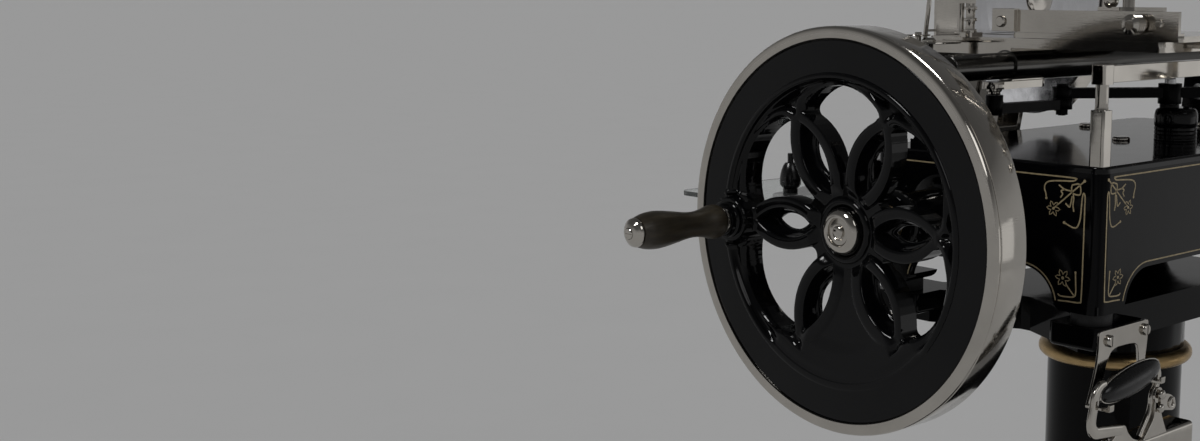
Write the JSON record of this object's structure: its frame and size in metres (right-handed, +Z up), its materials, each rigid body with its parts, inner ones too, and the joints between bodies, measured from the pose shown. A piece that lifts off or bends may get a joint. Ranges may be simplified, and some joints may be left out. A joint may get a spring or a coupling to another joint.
{
  "type": "hand crank meat slicer",
  "caption": "Hand cranked meat slicer on a cast column: spoked flywheel with a wooden handle, black base box, sliding carriage, round knife and glass tray.",
  "frame": {"origin": "the point on the floor on the axis of the pedestal column", "axes": "+Z up; -Y is the operator's side, where the flywheel stands; -X is the knife's side"},
  "size_m": [0.64, 0.9553, 1.4314],
  "materials": {
    "black_enamel": "gloss",
    "nickel": "polished",
    "aged_brass": "satin",
    "bronze": "machined",
    "rubber": "matte",
    "machined_steel": "machined",
    "grey_iron": "oiled",
    "dark_wood": "oiled",
    "blade_steel": "polished",
    "stone": "abrasive",
    "glass": "clear",
    "black_knob": "gloss"
  },
  "bodies": {
    "stand": {"pedestal_foot": "black_enamel", "pedestal_column": "black_enamel", "pedestal_ring": "aged_brass", "pedestal_head": "black_enamel", "rubber_feet": "rubber", "base_casting": "black_enamel", "base_cover": "black_enamel", "slotted_screws": "nickel", "shaft_housing": "black_enamel", "shaft_bushes": "bronze", "rocker_boss": "black_enamel", "knife_chain": "machined_steel", "chain_case": "nickel", "knife_arm": "nickel", "knife_guard": "nickel", "rod_brackets": "black_enamel", "guide_rod": "nickel", "rail_stanchions": "nickel", "roller_rail": "nickel", "gauge_housing": "black_enamel", "tray_bracket": "black_enamel", "receiving_tray": "glass", "hook_bracket": "nickel"},
    "flywheel": {"flywheel_casting": "black_enamel", "flywheel_rim": "nickel", "hub_cap": "nickel", "flywheel_shaft": "machined_steel", "crank_disc": "grey_iron", "bevel_wheel": "grey_iron", "handle_spindle": "nickel"},
    "grip": {"handle_grip": "dark_wood", "grip_cap": "nickel"},
    "cross": {"cross_shaft": "machined_steel", "bevel_pinion": "grey_iron", "lower_sprocket": "machined_steel"},
    "knife": {"knife_blade": "blade_steel", "knife_shaft": "machined_steel", "knife_nut": "nickel", "upper_sprocket": "machined_steel"},
    "slide": {"carriage": "nickel", "carriage_lug": "nickel", "guard_post": "nickel"},
    "roller": {"carriage_roller": "machined_steel"},
    "rocker": {"rocker_shaft": "machined_steel", "drive_lever": "black_enamel"},
    "link": {"drive_link": "black_enamel"},
    "pitman_rod": {"pitman": "grey_iron"},
    "feed": {"feed_table": "nickel", "feed_fence": "nickel", "fence_screws": "nickel", "clamp_post": "nickel"},
    "screw": {"feed_screw": "nickel"},
    "clamp": {"meat_clamp": "nickel"},
    "gauge": {"gauge_plate": "nickel"},
    "dial": {"thickness_dial": "nickel"},
    "glass_knob": {"tray_knob": "black_knob"},
    "sharpener": {"sharpener_arm": "nickel", "sharpening_stones": "stone"},
    "pusher": {"pusher_frame": "nickel", "pusher_grip": "black_knob"}
  },
  "joints": [
    {"name": "flywheel_spin", "type": "hinge", "parent": "stand", "child": "flywheel", "pos_m": [-0.0515, -0.495, 0.89], "axis": [0, 1, 0], "continuous": true},
    {"name": "grip_spin", "type": "hinge", "parent": "flywheel", "child": "grip", "pos_m": [-0.2195, -0.57, 0.887], "axis": [0, 1, 0], "continuous": true},
    {"name": "cross_spin", "type": "hinge", "parent": "stand", "child": "cross", "pos_m": [-0.1, 0, 0.89], "axis": [1, 0, 0], "continuous": true},
    {"name": "knife_spin", "type": "hinge", "parent": "stand", "child": "knife", "pos_m": [-0.182, 0.06, 1.15], "axis": [1, 0, 0], "continuous": true},
    {"name": "carriage_slide", "type": "slide", "parent": "stand", "child": "slide", "axis": [0, 1, 0], "range_m": [0, 0.226]},
    {"name": "roller_roll", "type": "hinge", "parent": "slide", "child": "roller", "pos_m": [0.156, -0.032, 1.0872], "axis": [1, 0, 0], "range_deg": [-1300, 0]},
    {"name": "rocker_swing", "type": "hinge", "parent": "stand", "child": "rocker", "pos_m": [0.05, 0.028, 1], "axis": [0, 0, 1], "range_deg": [-105, 0]},
    {"name": "link_swing", "type": "hinge", "parent": "rocker", "child": "link", "pos_m": [-0.037, -0.085, 1.02], "axis": [0, 0, 1], "range_deg": [0, 105]},
    {"name": "pitman_swing", "type": "hinge", "parent": "rocker", "child": "pitman_rod", "pos_m": [0.0104, 0.0585, 0.875], "axis": [0, 0, 1], "range_deg": [0, 105]},
    {"name": "feed_slide", "type": "slide", "parent": "slide", "child": "feed", "axis": [1, 0, 0], "range_m": [-0.1, 0]},
    {"name": "feed_screw_turn", "type": "hinge", "parent": "slide", "child": "screw", "pos_m": [0, -0.085, 1.094], "axis": [1, 0, 0], "range_deg": [0, 12000]},
    {"name": "clamp_slide", "type": "slide", "parent": "feed", "child": "clamp", "axis": [0, 0, 1], "range_m": [-0.09, 0]},
    {"name": "gauge_slide", "type": "slide", "parent": "stand", "child": "gauge", "axis": [1, 0, 0], "range_m": [-0.015, 0]},
    {"name": "dial_turn", "type": "hinge", "parent": "stand", "child": "dial", "pos_m": [-0.137, -0.233, 1], "axis": [0, 0, 1], "range_deg": [0, 300]},
    {"name": "glass_knob_turn", "type": "hinge", "parent": "stand", "child": "glass_knob", "pos_m": [-0.27, -0.345, 0.91], "axis": [0, 0, 1], "range_deg": [-720, 0]},
    {"name": "sharpener_swing", "type": "hinge", "parent": "stand", "child": "sharpener", "pos_m": [-0.182, 0.093, 1.35], "axis": [1, 0, 0], "range_deg": [-10, 38]},
    {"name": "pusher_pull", "type": "slide", "parent": "stand", "child": "pusher", "axis": [1, 0, 0], "range_m": [0, 0.06]}
  ],
  "couplings": [
    {"joint": "cross_spin", "follows": "flywheel_spin", "ratio": 2.4},
    {"joint": "knife_spin", "follows": "flywheel_spin", "ratio": 3.9273},
    {"joint": "roller_roll", "follows": "carriage_slide", "rad_per_m": -100},
    {"joint": "rocker_swing", "follows": "carriage_slide", "rad_per_m": -8.0945},
    {"joint": "link_swing", "follows": "carriage_slide", "rad_per_m": 8.0945},
    {"joint": "pitman_swing", "follows": "carriage_slide", "rad_per_m": 8.0945},
    {"joint": "feed_screw_turn", "follows": "feed_slide", "rad_per_m": -2094.4},
    {"joint": "dial_turn", "follows": "gauge_slide", "rad_per_m": -349.07}
  ]
}
